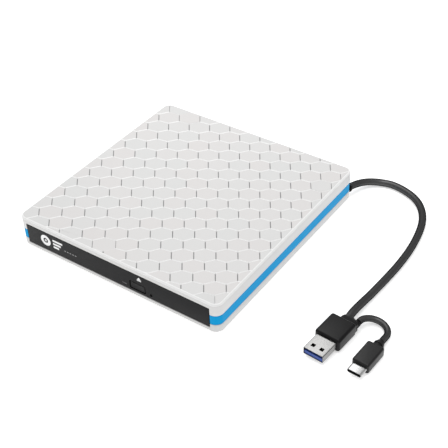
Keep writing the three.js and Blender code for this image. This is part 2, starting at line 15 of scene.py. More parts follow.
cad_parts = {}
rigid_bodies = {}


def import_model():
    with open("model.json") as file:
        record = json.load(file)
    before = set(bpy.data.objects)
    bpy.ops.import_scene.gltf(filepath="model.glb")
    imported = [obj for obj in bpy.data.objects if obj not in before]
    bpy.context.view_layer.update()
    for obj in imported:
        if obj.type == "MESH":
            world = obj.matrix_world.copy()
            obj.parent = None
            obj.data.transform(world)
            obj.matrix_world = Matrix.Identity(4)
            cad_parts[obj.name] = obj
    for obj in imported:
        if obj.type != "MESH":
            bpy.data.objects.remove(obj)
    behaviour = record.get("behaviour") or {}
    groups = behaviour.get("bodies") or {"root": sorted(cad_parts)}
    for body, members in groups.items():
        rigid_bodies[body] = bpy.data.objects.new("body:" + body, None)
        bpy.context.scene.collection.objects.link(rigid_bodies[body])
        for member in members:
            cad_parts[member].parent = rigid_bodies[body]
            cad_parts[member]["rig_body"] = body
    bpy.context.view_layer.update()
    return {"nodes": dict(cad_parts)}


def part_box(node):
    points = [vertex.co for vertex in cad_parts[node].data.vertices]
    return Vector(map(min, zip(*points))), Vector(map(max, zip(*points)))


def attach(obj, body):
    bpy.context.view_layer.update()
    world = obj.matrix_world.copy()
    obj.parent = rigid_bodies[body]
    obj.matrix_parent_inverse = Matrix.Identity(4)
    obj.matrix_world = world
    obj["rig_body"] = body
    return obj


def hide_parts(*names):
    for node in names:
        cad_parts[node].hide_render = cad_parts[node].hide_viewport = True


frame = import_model()

MM = 0.001
NODES = frame["nodes"]
TOP_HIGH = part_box("top_cover")[1]
BOTTOM_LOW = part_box("bottom_cover")[0]
BAND_LOW, BAND_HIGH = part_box("accent_band")
BEZEL_LOW, BEZEL_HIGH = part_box("front_bezel")
BUTTON_LOW, BUTTON_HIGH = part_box("eject_button")

HALF_X = TOP_HIGH.x / MM  # 70
HALF_Y = TOP_HIGH.y / MM  # 71
LID_Z = TOP_HIGH.z / MM  # 21, the lid's upper face
BASE_Z = BOTTOM_LOW.z / MM  # 1, the underside
CORNER = 5.0  # plan radius of the case
WALL = 1.8
PART_LOW = BAND_LOW.z / MM - 0.1  # parting line under the band
PART_HIGH = BAND_HIGH.z / MM + 0.1  # parting line above the band
MOUTH_X = 64.4  # half the width of the front opening
MOUTH_LOW = 3.85
MOUTH_HIGH = 17.4
NEAR = 0.01  # two places closer than this are the same

# The lead leaves through the rear right corner.
EXIT_ANGLE = math.radians(72)
EXIT_WAY = Vector((math.cos(EXIT_ANGLE), math.sin(EXIT_ANGLE), 0))
EXIT_Z = 5.4
EXIT_POINT = Vector((
    HALF_X - CORNER + CORNER * math.cos(EXIT_ANGLE),
    HALF_Y - CORNER + CORNER * math.sin(EXIT_ANGLE),
    EXIT_Z,
))
EXIT_HOLE = 2.4  # radius
EXIT_REACH = 5  # how far the tool for that hole reaches either way


# ------------------------------------------------------------------ camera, light and floor
CAMERA_TURN = (36.150, 39.0906, -2.2496)  # azimuth, elevation and roll, in degrees
CAMERA_AIM = (26.271, -2.811, 10)
CAMERA_DISTANCE = 562.754
CAMERA_LENS = 78.0695
SENSOR_WIDTH = 36
WORLD_STRENGTH = 0.65
LAMPS = [  # name, place, the point it shines at, side of its square and power
    ("key", (0.1, -0.1, 1.2), (0.03, 0, 0), 0.5, 3.1),
    ("rear_left", (-0.11, 0.16, 0.40), (-0.1, 0.14, 0), 0.3, 0.78),
]
FLOOR_REACH = 3.0
FLOOR_Z = -0.0002  # a hair under the feet
FLOOR_COLOUR = (0.96, 0.96, 0.96, 1)
FLOOR_GLOW = 0.45


def make_camera():
    azimuth, elevation, roll = (math.radians(a) for a in CAMERA_TURN)
    right = Vector((math.cos(azimuth), math.sin(azimuth), 0))
    back = Vector((
        math.sin(azimuth) * math.cos(elevation),
        -math.cos(azimuth) * math.cos(elevation),
        math.sin(elevation),
    ))
    up = back.cross(right)
    turned_right = right * math.cos(roll) + up * math.sin(roll)
    turned_up = up * math.cos(roll) - right * math.sin(roll)
    place = Vector(CAMERA_AIM) * MM + back * CAMERA_DISTANCE * MM
    data = bpy.data.cameras.new("camera")
    data.sensor_width = SENSOR_WIDTH
    data.lens = CAMERA_LENS
    data.clip_start = 0.01
    camera = bpy.data.objects.new("camera", data)
    rotation = Matrix((turned_right, turned_up, back)).transposed().to_4x4()
    camera.matrix_world = Matrix.Translation(place) @ rotation
    bpy.context.scene.collection.objects.link(camera)
    bpy.context.scene.camera = camera


def area_light(name, place, aim, size, power):
    data = bpy.data.lights.new(name, "AREA")
    data.shape = "SQUARE"
    data.size = size
    data.energy = power
    lamp = bpy.data.objects.new(name, data)
    lamp.location = place
    lamp.rotation_euler = (Vector(aim) - Vector(place)).to_track_quat("-Z", "Y").to_euler()
    bpy.context.scene.collection.objects.link(lamp)


def make_studio():
    scene = bpy.context.scene
    scene.view_settings.view_transform = "Standard"
    world = bpy.data.worlds.new("studio")
    world.use_nodes = True
    background = world.node_tree.nodes["Background"]
    socket(background, "Color", (1, 1, 1, 1))
    socket(background, "Strength", WORLD_STRENGTH)
    scene.world = world
    for lamp in LAMPS:
        area_light(*lamp)

    bm = bmesh.new()
    corners = [(-1, -1), (1, -1), (1, 1), (-1, 1)]
    bm.faces.new([bm.verts.new((x * FLOOR_REACH, y * FLOOR_REACH, FLOOR_Z)) for x, y in corners])
    mesh = bpy.data.meshes.new("floor")
    bm.to_mesh(mesh)
    bm.free()
    floor = bpy.data.objects.new("floor", mesh)
    scene.collection.objects.link(floor)
    floor.data.materials.append(floor_material())


# ------------------------------------------------------------------ materials
BUMP_HEIGHT = 0.1
PATCH_SIZE = 18  # of the patches with their own gloss and tone
GLOSS_SPREAD = 0.05  # how far the roughness strays either way
COAT_ROUGHNESS = 0.2


def socket(node, name, value):
    node.inputs[name].default_value = value


def floor_material():
    material = bpy.data.materials.new("floor_white")
    material.use_nodes = True
    shader = material.node_tree.nodes["Principled BSDF"]
    socket(shader, "Base Color", FLOOR_COLOUR)
    socket(shader, "Roughness", 0.9)
    socket(shader, "Emission Color", (1, 1, 1, 1))
    socket(shader, "Emission Strength", FLOOR_GLOW)
    return material


def surface(
    name, colour, roughness, metallic=0.0, grain_size=0.25, grain=0.08, mottle=0.03,
    specular=0.5, coat=0.0, tone=False, dark_edges=False, stretch=(1, 1, 1),
):
    """A moulded, cast or rolled finish: fine bumps, uneven gloss and a slight change of tone.

    grain_size is the size of the bumps in millimetres and grain their strength. stretch draws the
    bumps out along an axis, as on brushed metal. tone adds the lid tiles' own small differences.
    dark_edges takes the gloss away where the surface turns from the eye, as on matt rubber.
    """
    material = bpy.data.materials.new(name)
    material.use_nodes = True
    tree = material.node_tree
    nodes, links = tree.nodes, tree.links
    shader = nodes["Principled BSDF"]
    socket(shader, "Metallic", metallic)
    socket(shader, "Specular IOR Level", specular)
    if coat:
        socket(shader, "Coat Weight", coat)
        socket(shader, "Coat Roughness", COAT_ROUGHNESS)
    if dark_edges:
        facing = nodes.new("ShaderNodeLayerWeight")
        socket(facing, "Blend", 0.5)
        fade = nodes.new("ShaderNodeMapRange")
        socket(fade, "From Max", 0.6)
        socket(fade, "To Min", specular)
        socket(fade, "To Max", 0)
        links.new(facing.outputs["Facing"], fade.inputs["Value"])
        links.new(fade.outputs["Result"], shader.inputs["Specular IOR Level"])
    place = nodes.new("ShaderNodeTexCoord")
    mapping = nodes.new("ShaderNodeMapping")
    socket(mapping, "Scale", stretch)
    links.new(place.outputs["Object"], mapping.inputs["Vector"])

    fine = nodes.new("ShaderNodeTexNoise")
    socket(fine, "Scale", 1 / (grain_size * MM))
    socket(fine, "Detail", 3)
    links.new(mapping.outputs["Vector"], fine.inputs["Vector"])
    bump = nodes.new("ShaderNodeBump")
    socket(bump, "Strength", grain)
    socket(bump, "Distance", BUMP_HEIGHT * MM)
    links.new(fine.outputs["Fac"], bump.inputs["Height"])
    links.new(bump.outputs["Normal"], shader.inputs["Normal"])

    broad = nodes.new("ShaderNodeTexNoise")
    socket(broad, "Scale", 1 / (PATCH_SIZE * MM))
    socket(broad, "Detail", 4)
    links.new(place.outputs["Object"], broad.inputs["Vector"])
    gloss = nodes.new("ShaderNodeMapRange")
    socket(gloss, "To Min", max(0.02, roughness - GLOSS_SPREAD))
    socket(gloss, "To Max", min(1.0, roughness + GLOSS_SPREAD))
    links.new(broad.outputs["Fac"], gloss.inputs["Value"])
    links.new(gloss.outputs["Result"], shader.inputs["Roughness"])

    tint = nodes.new("ShaderNodeMix")
    tint.data_type = "RGBA"
    socket(tint, "A", (*[c * (1 - mottle) for c in colour], 1))
    socket(tint, "B", (*[min(1, c * (1 + mottle)) for c in colour], 1))
    links.new(broad.outputs["Fac"], tint.inputs["Factor"])
    painted = tint.outputs["Result"]
    if tone:
        painted = tile_tone(nodes, links, painted)
    links.new(painted, shader.inputs["Base Color"])
    return material


def tile_tone(nodes, links, colour):
    """Each lid tile is a touch warmer or cooler, and lighter or darker, than the next."""
    own = nodes.new("ShaderNodeAttribute")
    own.attribute_name = "tile_tone"
    ramp = nodes.new("ShaderNodeValToRGB")
    ramp.color_ramp.elements[0].color = (1.0, 0.98, 0.977, 1)
    ramp.color_ramp.elements[1].color = (0.977, 0.988, 0.988, 1)
    middle = ramp.color_ramp.elements.new(0.5)
    middle.color = (0.995, 0.99, 0.99, 1)
    links.new(own.outputs["Fac"], ramp.inputs["Fac"])
    mix = nodes.new("ShaderNodeMix")
    mix.data_type = "RGBA"
    mix.blend_type = "MULTIPLY"
    socket(mix, "Factor", 1)
    links.new(colour, mix.inputs["A"])
    links.new(ramp.outputs["Color"], mix.inputs["B"])
    return mix.outputs["Result"]


def make_materials():
    shell = (0.64, 0.635, 0.63)
    return {
        "shell": surface("shell_plastic", shell, 0.42, grain_size=0.3, grain=0.06, mottle=0.008),
        "tile": surface("tile_plastic", shell, 0.42, grain_size=0.3, grain=0.06, mottle=0.012,
                        tone=True),
        # the groove walls are coloured lighter than the tiles: a painted highlight
        "groove": surface("groove_painted_highlight", (0.80, 0.80, 0.795), 0.35, grain=0.04, mottle=0.005),
        # the lid's rim and rounded upper edge are coloured lighter than the shell: a painted highlight
        "rim": surface("rim_painted_highlight", (0.80, 0.80, 0.795), 0.35, grain=0.04, mottle=0.005),
        "slot": surface("slot_shade", (0.5, 0.5, 0.5), 0.8, mottle=0.06, specular=0.1),
        "band": surface("band_plastic", (0.0, 0.31, 0.65), 0.5, grain_size=0.3, grain=0.05,
                        mottle=0.02, specular=0.08),
        "foot": surface("foot_rubber", (0.03, 0.03, 0.03), 0.85, grain_size=0.4, grain=0.2),
        "bezel": surface("bezel_plastic", (0.014, 0.014, 0.0145), 0.55, grain_size=0.18, grain=0.35,
                         mottle=0.05, specular=0.13),
        "button": surface("button_plastic", (0.015, 0.015, 0.0155), 0.5, grain_size=0.18, grain=0.3,
                          mottle=0.05, specular=0.14),
        # a near-black colour for the faces in the bezel's gaps: painted shade
        "gap": surface("gap_painted_shade", (0.004, 0.004, 0.004), 0.8, mottle=0.1, specular=0.1),
        "ink": surface("white_ink", (0.86, 0.86, 0.86), 0.5, grain_size=0.1, grain=0.1),
        "grey_ink": surface("grey_ink", (0.35, 0.35, 0.35), 0.5, grain_size=0.1, grain=0.1),
        "led": surface("led_smoke", (0.035, 0.035, 0.037), 0.3),
        "tray": surface("tray_plastic", (0.018, 0.018, 0.019), 0.45, grain_size=0.25, grain=0.25,
                        mottle=0.08),
        "hub": surface("hub_plastic", (0.03, 0.03, 0.032), 0.35, grain_size=0.3, grain=0.1),
        "claw": surface("claw_acetal", (0.62, 0.62, 0.58), 0.4, mottle=0.03),
        "sheet": surface("sheet_steel", (0.40, 0.405, 0.41), 0.40, 1.0, grain_size=0.2, grain=0.12,
                         mottle=0.06, stretch=(0.1, 1, 1)),
        "bolt": surface("blackened_steel", (0.12, 0.12, 0.125), 0.4, 1.0, mottle=0.1),
        "ground": surface("ground_steel", (0.72, 0.72, 0.73), 0.16, 1.0, grain=0.02, mottle=0.03),
        "board": surface("solder_mask", (0.008, 0.075, 0.03), 0.35, grain_size=1.2, grain=0.15,
                         mottle=0.12, coat=0.3),
        "chip": surface("chip_body", (0.012, 0.012, 0.013), 0.5, grain=0.15, mottle=0.1),
        "film": surface("amber_film", (0.45, 0.18, 0.03), 0.3, mottle=0.06, coat=0.3),
        "copper": surface("copper_winding", (0.62, 0.27, 0.11), 0.35, 1.0, grain_size=0.2, grain=0.5,
                          stretch=(1, 0.1, 1)),
        "lens": surface("coated_lens", (0.25, 0.35, 0.55), 0.05, grain=0.0, coat=1.0),
        "jacket": surface("lead_jacket", (0.013, 0.013, 0.0135), 0.38, grain_size=0.35, grain=0.12,
                          mottle=0.06, specular=1.0, dark_edges=True),
        "sleeve": surface("plug_sleeve", (0.004, 0.004, 0.0043), 0.3, grain_size=0.2, grain=0.12,
                          mottle=0.06, specular=0.17),
        "small_sleeve": surface("small_sleeve", (0.006, 0.006, 0.0063), 0.34, grain_size=0.2,
                                grain=0.12, mottle=0.06, specular=0.28),
        "nickel": surface("nickel_plate", (0.27, 0.268, 0.265), 0.26, 1.0, grain_size=0.15, grain=0.05,
                          mottle=0.04, stretch=(1, 0.08, 1)),
        "bright": surface("bright_plate", (0.44, 0.44, 0.44), 0.22, 1.0, grain_size=0.15, grain=0.04,
                          mottle=0.03, stretch=(1, 0.08, 1)),
        # the part of a plug's carrier deep inside its shell is coloured near black: painted shade
        "cavity": surface("plug_cavity_painted_shade", (0.006, 0.006, 0.006), 0.7, mottle=0.05, specular=0.1),
        "tongue": surface("blue_carrier", (0.012, 0.055, 0.30), 0.4, mottle=0.05),
        "gold": surface("gold_contact", (0.85, 0.58, 0.22), 0.25, 1.0),
    }


# ------------------------------------------------------------------ mesh tools
HARD_EDGE = math.radians(25)  # an edge that turns more than this is hard


def finish_piece(name, bm, materials, body, replaces=(), smooth=35):
    """Turns a bmesh, in metres, into a piece that rides on a body and stands for CAD nodes."""
    bmesh.ops.recalc_face_normals(bm, faces=bm.faces)
    mesh = bpy.data.meshes.new(name)
    bm.to_mesh(mesh)
    bm.free()
    for material in materials:
        mesh.materials.append(material)
    piece = bpy.data.objects.new(name, mesh)
    bpy.context.scene.collection.objects.link(piece)
    for face in mesh.polygons:
        face.use_smooth = True
    mesh.set_sharp_from_angle(angle=math.radians(smooth))
    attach(piece, body)
    if replaces:
        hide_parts(*replaces)
    return piece


def bridge(bm, low, high, material=0):
    """Quads between two closed loops of the same length."""
    count = len(low)
    for i in range(count):
        j = (i + 1) % count
        face = bm.faces.new((low[i], low[j], high[j], high[i]))
        face.material_index = material


def ring(bm, points):
    return [bm.verts.new(Vector(p) * MM) for p in points]


def loft(bm, loops, material=0):
    """A solid through closed loops of points in millimetres."""
    rings = [ring(bm, loop) for loop in loops]
    for low, high in zip(rings, rings[1:]):
        bridge(bm, low, high, material)
    for end in (rings[0], rings[-1]):
        bm.faces.new(end).material_index = material


def ring_wall(bm, rings):
    """A closed wall through rings, the last of which joins the first."""
    for low, high in zip(rings, rings[1:] + rings[:1]):
        bridge(bm, low, high)


def rect_stations(half_x, half_y, radius, steps=14):
    """Stations round a rectangle with round corners: each is a centre and an outward direction."""
    stations = []
    for quarter, (sx, sy) in enumerate(((1, -1), (1, 1), (-1, 1), (-1, -1))):
        centre = Vector((sx * (half_x - radius), sy * (half_y - radius)))
        for i in range(steps + 1):
            angle = math.radians(90 * (quarter - 1) + 90 * i / steps)
            stations.append((centre, Vector((math.cos(angle), math.sin(angle)))))
    return stations


def station_loop(stations, radius, z):
    return [(*(centre + out * radius), z) for centre, out in stations]


def fillet(inset, z, radius, start, end, steps=6):
    """Profile points [inset, z] round a quarter turn, with its centre at inset, z."""
    points = []
    for i in range(steps + 1):
        a = math.radians(start + (end - start) * i / steps)
        points.append((inset - radius * math.cos(a), z + radius * math.sin(a)))
    return points


def solid_object(bm):
    """A hidden helper for a boolean."""
    mesh = bpy.data.meshes.new("tool")
    bmesh.ops.recalc_face_normals(bm, faces=bm.faces)
    bm.to_mesh(mesh)
    bm.free()
    tool = bpy.data.objects.new("tool", mesh)
    bpy.context.scene.collection.objects.link(tool)
    return tool


def subtract(bm, *tools):
    """Cuts closed bmeshes out of bm and gives the result as a new bmesh."""
    base = solid_object(bm)
    for tool_bm in tools:
        tool = solid_object(tool_bm)
        modifier = base.modifiers.new("cut", "BOOLEAN")
        modifier.operation = "DIFFERENCE"
        modifier.solver = "EXACT"
        modifier.object = tool
        bpy.context.view_layer.update()
        cut = bpy.data.meshes.new_from_object(
            base.evaluated_get(bpy.context.evaluated_depsgraph_get())
        )
        base.modifiers.clear()
        base.data = cut
        bpy.data.objects.remove(tool)
    result = bmesh.new()
    result.from_mesh(base.data)
    bpy.data.objects.remove(base)
    return result


def box_bm(low, high):
    """A box between two corners in millimetres."""
    bm = bmesh.new()
    low, high = Vector(low) * MM, Vector(high) * MM
    size = high - low
    matrix = Matrix.Translation((low + high) / 2) @ Matrix.Diagonal((*size, 1))
    bmesh.ops.create_cube(bm, size=1, matrix=matrix)
    return bm


def rod_bm(radius, start, end, sides=32, end_radius=None):
    """A cylinder or cone between two points in millimetres."""
    bm = bmesh.new()
    a, b = Vector(start) * MM, Vector(end) * MM
    turn = (b - a).to_track_quat("Z", "Y").to_matrix().to_4x4()
    bmesh.ops.create_cone(
        bm, cap_ends=True, segments=sides, radius1=radius * MM,
        radius2=(radius if end_radius is None else end_radius) * MM, depth=(b - a).length,
        matrix=Matrix.Translation((a + b) / 2) @ turn,
    )
    return bm


def round_edges(bm, width, test):
    """Rounds the hard edges whose two ends both pass the test, which gets millimetres."""
    chosen = [
        e for e in bm.edges
        if all(test(v.co / MM) for v in e.verts) and e.calc_face_angle(0) > HARD_EDGE
    ]
    bmesh.ops.bevel(
        bm, geom=chosen, offset=width * MM, segments=2, profile=0.5, affect="EDGES",
        clamp_overlap=True,
    )


# ------------------------------------------------------------------ honeycomb lid
RIM = 1.1  # distance from the wall to the edge of the honeycomb
EDGE_RADIUS = 1.0  # of the lid's upper edge
ROW_STEP = Vector((10.818, -4.620))  # from one tile to the next along a row
COLUMN_STEP = Vector((-0.022, 11.086))  # from one tile to the next across the rows
SLOT_SIDE = Vector((-4.115, 5.663))  # the side of a tile that carries a slot
SIDE_B = COLUMN_STEP - SLOT_SIDE
SIDE_A = ROW_STEP + COLUMN_STEP - SIDE_B
PATTERN_ORIGIN = Vector((4.593, 0.784))  # middle of one slot
TAPER = (0.00916, -0.00328)  # how fast the tiles get smaller, for each row step and column step
GROOVE_DEPTH = 0.22
GROOVE_HALF = 0.38  # half the width of the shallow grooves
SLOT_DEPTH = 0.75
SLOT_HALF = 0.30  # half the width of the deep slots
SLOT_SPAN = (0.07, 0.93)  # the stretch of a tile's side that its slot takes
SHORTEST_SLOT = 1.6  # a side that the rim leaves shorter than this gets a groove
SHORT_RIM = 0.5  # stretches of the rim shorter than this are joined
SAME_POINT = 1e-4
ROWS = range(-9, 10)  # enough rows and columns to cover the lid
COLUMNS = range(-13, 14)
TILE_SEED = 11
TILE, SLOT, GROOVE, SHELL, RIM_LOOK = range(5)  # places in the lid's list of materials


def cross_2d(a, b):
    return a.x * b.y - a.y * b.x


def tapered(point):
    """Where a point of the even pattern lies on the lid."""
    offset = point - PATTERN_ORIGIN
    area = cross_2d(ROW_STEP, COLUMN_STEP)
    rows = cross_2d(offset, COLUMN_STEP) / area
    columns = cross_2d(ROW_STEP, offset) / area
    return point / (1 + TAPER[0] * rows + TAPER[1] * columns)


def hexagon(row, column):
    """Corners in order, with the tag of the side that starts at each corner."""
    corner = PATTERN_ORIGIN + ROW_STEP * (row - 0.5) + COLUMN_STEP * (column - 0.5)
    corner -= (SIDE_A + SIDE_B + SLOT_SIDE) / 2
    sides = [(SIDE_A, "groove"), (SIDE_B, "groove"), (SLOT_SIDE, "slot")]
    corners = []
    for side, tag in sides + [(-side, tag) for side, tag in sides]:
        corners.append((tapered(corner), tag))
        corner = corner + side
    return corners


def clip(polygon, point, inward):
    """Keeps the part of a tagged polygon on the inner side of a line."""
    kept = []
    for (a, tag), (b, _) in zip(polygon, polygon[1:] + polygon[:1]):
        side_a = (a - point).dot(inward)
        side_b = (b - point).dot(inward)
        if side_a >= 0:
            kept.append((a, tag))
        if (side_a >= 0) != (side_b >= 0):
            crossing = a + (b - a) * (side_a / (side_a - side_b))
            # leaving the region, the next side runs along the rim; entering, the old side goes on
            kept.append((crossing, "rim" if side_a >= 0 else tag))
    return kept


def tidy_polygon(polygon):
    """Drops corners that fall on the one before, and joins short stretches of the rim."""
    out = []
    for corner, tag in polygon:
        step = (corner - out[-1][0]).length if out else 1.0
        if step < SAME_POINT:
            out[-1] = (out[-1][0], tag)
        elif not (step < SHORT_RIM and tag == "rim" and out[-1][1] == "rim"):
            out.append((corner, tag))
    if len(out) > 1 and (out[0][0] - out[-1][0]).length < SAME_POINT:
        out.pop()
    return out


def inset_corner(before, corner, after, w_before, w_after):
    """Where the two sides that meet at a corner cross, once each is moved inwards."""
    d1 = (corner - before).normalized()
    d2 = (after - corner).normalized()
    n1, n2 = Vector((-d1.y, d1.x)), Vector((-d2.y, d2.x))
    cross = cross_2d(d1, d2)
    if abs(cross) < 1e-3:  # the two sides are in line
        return corner + n1 * max(w_before, w_after)
    p1, p2 = corner + n1 * w_before, corner + n2 * w_after
    return p1 + d1 * (cross_2d(p2 - p1, d2) / cross)


def add_tile(bm, polygon, tone_layer, tone):
    """One tile: a flat top, groove walls on its sides and slot walls on two of them. The groove walls
    get a lighter colour than the top, a painted highlight.
    """
    count = len(polygon)
    points = [p for p, _ in polygon]
    tags = [t for _, t in polygon]
    on_rim = [tags[i] == "rim" or tags[i - 1] == "rim" for i in range(count)]
    # a small tile that the rim leaves over gets narrower grooves
    for shrink in (1.0, 0.6, 0.3, 0.1):
        widths = {"rim": 0.0, "groove": GROOVE_HALF * shrink, "slot": SLOT_HALF * shrink}
        inner = [
            inset_corner(
                points[i - 1], points[i], points[(i + 1) % count], widths[tags[i - 1]],
                widths[tags[i]],
            )
            for i in range(count)
        ]
        sound = all(
            (inner[(i + 1) % count] - inner[i]).dot(points[(i + 1) % count] - points[i]) > 0
            for i in range(count)
        )
        if sound:
            break

    def vertex(p, z):
        return bm.verts.new((p.x * MM, p.y * MM, (LID_Z + z) * MM))

    def face(corners, material=TILE):
        made = bm.faces.new(corners)
        made.material_index = material
        made[tone_layer] = tone

    outer_z = [0.0 if rim else -GROOVE_DEPTH for rim in on_rim]
    if not sound:
        face([vertex(p, z) for p, z in zip(points, outer_z)])
        return
    top = []
    for i in range(count):
        j = (i + 1) % count
        a, b, qa, qb = points[i], points[j], inner[i], inner[j]
        top.append(vertex(qa, 0))
        if tags[i] == "rim":
            continue
        length = (b - a).length
        if tags[i] == "slot" and length > SHORTEST_SLOT:
            # the same two points from either tile, so that neighbours meet
            first, last = (a, b) if (a.y, a.x) < (b.y, b.x) else (b, a)
            ends = [first + (last - first) * t for t in SLOT_SPAN]
            near, far = ends if first == a else ends[::-1]
            along = (b - a) / length
            normal = Vector((-along.y, along.x)) * widths["slot"]
            face([vertex(a, outer_z[i]), vertex(near, -SLOT_DEPTH), vertex(near + normal, 0),
                  vertex(qa, 0)], GROOVE)
            face([vertex(near, -SLOT_DEPTH), vertex(far, -SLOT_DEPTH), vertex(far + normal, 0),
                  vertex(near + normal, 0)], SLOT)
            face([vertex(far, -SLOT_DEPTH), vertex(b, outer_z[j]), vertex(qb, 0),
                  vertex(far + normal, 0)], GROOVE)
            top += [vertex(near + normal, 0), vertex(far + normal, 0)]
        else:
            face([vertex(a, outer_z[i]), vertex(b, outer_z[j]), vertex(qb, 0), vertex(qa, 0)],
                 GROOVE)
    face(top)


def add_honeycomb(bm, tone_layer):
    """All the tiles, cut off where the plain rim of the lid begins."""
    outline = [
        centre + out * (CORNER - RIM) for centre, out in rect_stations(HALF_X, HALF_Y, CORNER)
    ]
    rng = random.Random(TILE_SEED)
    others = len(bm.verts)
    for row in ROWS:
        for column in COLUMNS:
            tone = rng.random()
            polygon = hexagon(row, column)
            for a, b in zip(outline, outline[1:] + outline[:1]):
                along = b - a
                if along.length < 1e-6:  # two corners of the outline fall together
                    continue
                polygon = clip(polygon, a, Vector((-along.y, along.x)).normalized())
                if len(polygon) < 3:
                    break
            polygon = tidy_polygon(polygon) if len(polygon) >= 3 else []
            if len(polygon) >= 3:
                add_tile(bm, polygon, tone_layer, tone)
    bm.verts.ensure_lookup_table()
    bmesh.ops.remove_doubles(bm, verts=bm.verts[others:], dist=0.004 * MM)


AHEAD_OF_CASE = -90
INSIDE_FRONT = -60
UNDER_CASE = -5
OVER_CASE = 30
# Where the covers meet the band: insets, and distances from the parting line.
PARTING_EDGE = [(0, 0.3), (0.1, 0.08), (0.3, 0)]


def case_rings(bm, profile):
    """Loops round the case, one for each point [inset, z] of the profile."""
    stations = rect_stations(HALF_X, HALF_Y, CORNER)
    return [ring(bm, station_loop(stations, CORNER - inset, z)) for inset, z in profile]


def mouth_tool(low, high):
    """The front opening between two heights, from well in front of the case to inside its wall."""
    return box_bm((-MOUTH_X, AHEAD_OF_CASE, low), (MOUTH_X, INSIDE_FRONT, high))


def by_mouth(point, depth):
    """Whether a point of a case piece is on the mouth's edge, no deeper than depth."""
    return point.y < -HALF_Y + depth and abs(point.x) < MOUTH_X + NEAR


def make_top_cover(mats):
    """The lid: a closed shell with a recess in its top, and the sheet of tiles that fills it."""
    bm = bmesh.new()
    bm.faces.layers.float.new("tile_tone")
    profile = [(RIM, LID_Z - SLOT_DEPTH - 0.1), (RIM, LID_Z)]
    profile += fillet(EDGE_RADIUS, LID_Z - EDGE_RADIUS, EDGE_RADIUS, 90, 0, 8)
    profile += [(inset, PART_HIGH + away) for inset, away in PARTING_EDGE]
    profile += [(WALL, PART_HIGH), (WALL, LID_Z - WALL)]
    rings = case_rings(bm, profile)
    # the top of the rim and its rounded upper edge get the lighter rim colour, a painted highlight
    for (_, z), low, high in zip(profile, rings, rings[1:]):
        bridge(bm, low, high, RIM_LOOK if z > LID_Z - EDGE_RADIUS + NEAR else SHELL)
    bm.faces.new(rings[0]).material_index = SHELL
    bm.faces.new(rings[-1]).material_index = SHELL
    bm = subtract(bm, mouth_tool(UNDER_CASE, MOUTH_HIGH))
    round_edges(bm, width=0.22, test=lambda p: by_mouth(p, 0.6) and p.z < MOUTH_HIGH + NEAR)
    bmesh.ops.recalc_face_normals(bm, faces=bm.faces)
    add_honeycomb(bm, bm.faces.layers.float["tile_tone"])
    looks = [mats[key] for key in ("tile", "slot", "groove", "shell", "rim")]
    piece = finish_piece("lid_shell", bm, looks, "case", ["top_cover"], smooth=30)
    for face in piece.data.polygons:
        face.use_smooth = face.material_index in (SHELL, RIM_LOOK)


# ------------------------------------------------------------------ band and bottom cover
BAND_SET_IN = 0.12  # the band's face lies this far behind the covers' faces
BAND_CHAMFER = 0.2
FLOOR = 1.6  # thickness of the bottom cover's floor
LOWER_EDGE = 1.3  # radius
FOOT_GAP = 0.2  # between a foot and its seat
FOOT_SEAT = 0.6  # depth
SCREW_HOLE = 2.0  # radius
SCREW_SEAT = 1.5  # depth


def exit_tool():
    """A rod along the lead's way out of the case."""
    way = EXIT_WAY * EXIT_REACH
    return rod_bm(EXIT_HOLE, EXIT_POINT - way, EXIT_POINT + way)


def make_band(mats):
    low, high = BAND_LOW.z / MM, BAND_HIGH.z / MM
    cut, face = BAND_CHAMFER, BAND_SET_IN
    bm = bmesh.new()
    ring_wall(bm, case_rings(bm, [
        (face + cut, low), (face, low + cut), (face, high - cut), (face + cut, high),
        (WALL, high), (WALL, low),
    ]))
    bm = subtract(bm, mouth_tool(0, OVER_CASE), exit_tool())
    round_edges(bm, width=0.15, test=lambda p: by_mouth(p, 0.8))
    finish_piece("band_ring", bm, [mats["band"]], "case", ["accent_band"])


def seat_tool(node, radius, depth, sides):
    """A round hole in the underside over a foot or a screw."""
    low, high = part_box(node)
    middle = (low + high) / 2 / MM
    return rod_bm(radius, (middle.x, middle.y, -1), (middle.x, middle.y, BASE_Z + depth), sides)


def make_bottom_cover(mats):
    bm = bmesh.new()
    profile = [(WALL, BASE_Z + FLOOR), (WALL, PART_LOW)]
    profile += [(inset, PART_LOW - away) for inset, away in reversed(PARTING_EDGE)]
    profile += fillet(LOWER_EDGE, BASE_Z + LOWER_EDGE, LOWER_EDGE, 0, -90, 7)
    rings = case_rings(bm, profile)
    for low, high in zip(rings, rings[1:]):
        bridge(bm, low, high)
    bm.faces.new(rings[0])
    bm.faces.new(rings[-1])
    cuts = [mouth_tool(MOUTH_LOW, OVER_CASE), exit_tool()]
    for node in NODES:
        if node.startswith("foot_"):
            low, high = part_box(node)
            radius = (high.x - low.x) / MM / 2 + FOOT_GAP
            cuts.append(seat_tool(node, radius, FOOT_SEAT, 48))
    for node in NODES:
        if node.startswith("case_screw_"):
            cuts.append(seat_tool(node, SCREW_HOLE, SCREW_SEAT, 32))
    bm = subtract(bm, *cuts)
    round_edges(bm, width=0.2, test=lambda p: by_mouth(p, 0.6) and p.z > MOUTH_LOW - NEAR)
    round_edges(bm, width=0.12, test=lambda p: abs(p.z - BASE_Z) < NEAR and abs(p.y) < HALF_Y - 2)
    finish_piece("base_shell", bm, [mats["shell"]], "case", ["bottom_cover"],
                 smooth=30)


